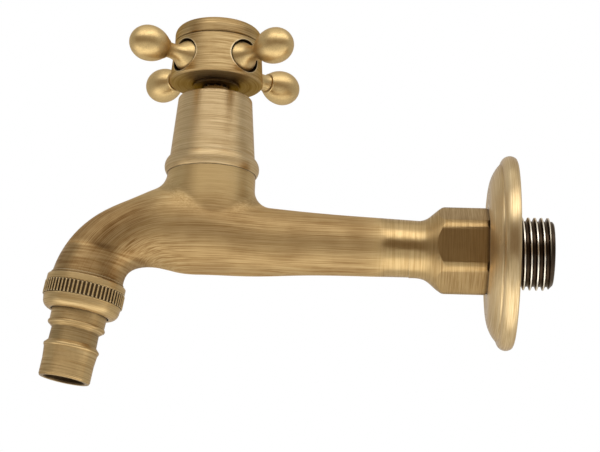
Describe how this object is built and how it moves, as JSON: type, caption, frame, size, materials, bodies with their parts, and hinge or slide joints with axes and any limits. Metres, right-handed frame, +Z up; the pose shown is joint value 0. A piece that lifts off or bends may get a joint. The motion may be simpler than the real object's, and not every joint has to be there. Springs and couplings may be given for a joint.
{
  "type": "hose bib",
  "caption": "Wall-mounted garden hose bib: threaded inlet with wall flange, quarter-turn cross handle over a conical shroud, curved spout with a knurled nut and a removable hose nozzle.",
  "frame": {"origin": "on the inlet's axis in the plane of the wall, which is the plane of the wall flange's back", "axes": "+X into the wall along the inlet, +Z up along the spindle, +Y to the left of someone who faces the wall, so the spout points to -X and down"},
  "size_m": [0.1439, 0.055, 0.107],
  "materials": {
    "cast_brass": "antique brass, satin, brushed along the tube and round the neck, darkened in its hollows",
    "turned_brass": "antique brass, satin, with fine turning lines",
    "ball_brass": "antique brass, smooth satin",
    "plain_brass": "bare machined brass",
    "screw_steel": "zinc-plated steel",
    "spring_steel": "spring steel",
    "fibre": "vulcanised fibre",
    "black_rubber": "nitrile rubber",
    "disc_ceramic": "lapped alumina ceramic",
    "nylon": "natural nylon"
  },
  "bodies": {
    "valve": {"body": "cast_brass", "headpart_housing": "plain_brass", "headpart_gasket": "fibre", "seat_seal": "black_rubber", "fixed_disc": "disc_ceramic", "shroud": "turned_brass"},
    "handle": {"handle_hub": "turned_brass", "handle_spoke_1": "ball_brass", "handle_spoke_2": "ball_brass", "handle_spoke_3": "ball_brass", "handle_spoke_4": "ball_brass", "handle_screw": "screw_steel", "handle_cap": "turned_brass", "spindle": "plain_brass", "stem_o_ring_lower": "black_rubber", "stem_o_ring_upper": "black_rubber", "retaining_clip": "spring_steel", "thrust_washer": "nylon", "moving_disc": "disc_ceramic"},
    "flange": {"wall_flange": "turned_brass"},
    "nozzle": {"hose_nozzle": "turned_brass", "nozzle_washer": "black_rubber"},
    "nut": {"hose_nut": "turned_brass"}
  },
  "joints": [
    {"name": "handle_turn", "type": "hinge", "parent": "valve", "child": "handle", "pos_m": [-0.0869, 0, 0.0544], "axis": [0, 0, 1], "range_deg": [0, 90]},
    {"name": "flange_slide", "type": "slide", "parent": "valve", "child": "flange", "axis": [1, 0, 0], "range_m": [0, 0.0185]},
    {"name": "nozzle_withdraw", "type": "slide", "parent": "valve", "child": "nozzle", "axis": [-0.1582, 0, -0.9874], "range_m": [0, 0.00574]},
    {"name": "nut_turn", "type": "hinge", "parent": "nozzle", "child": "nut", "pos_m": [-0.12144, 0, -0.01515], "axis": [-0.1582, 0, -0.9874], "range_deg": [0, 1140]}
  ],
  "couplings": [
    {"joint": "nut_turn", "follows": "nozzle_withdraw", "rad_per_m": 3463.7}
  ]
}
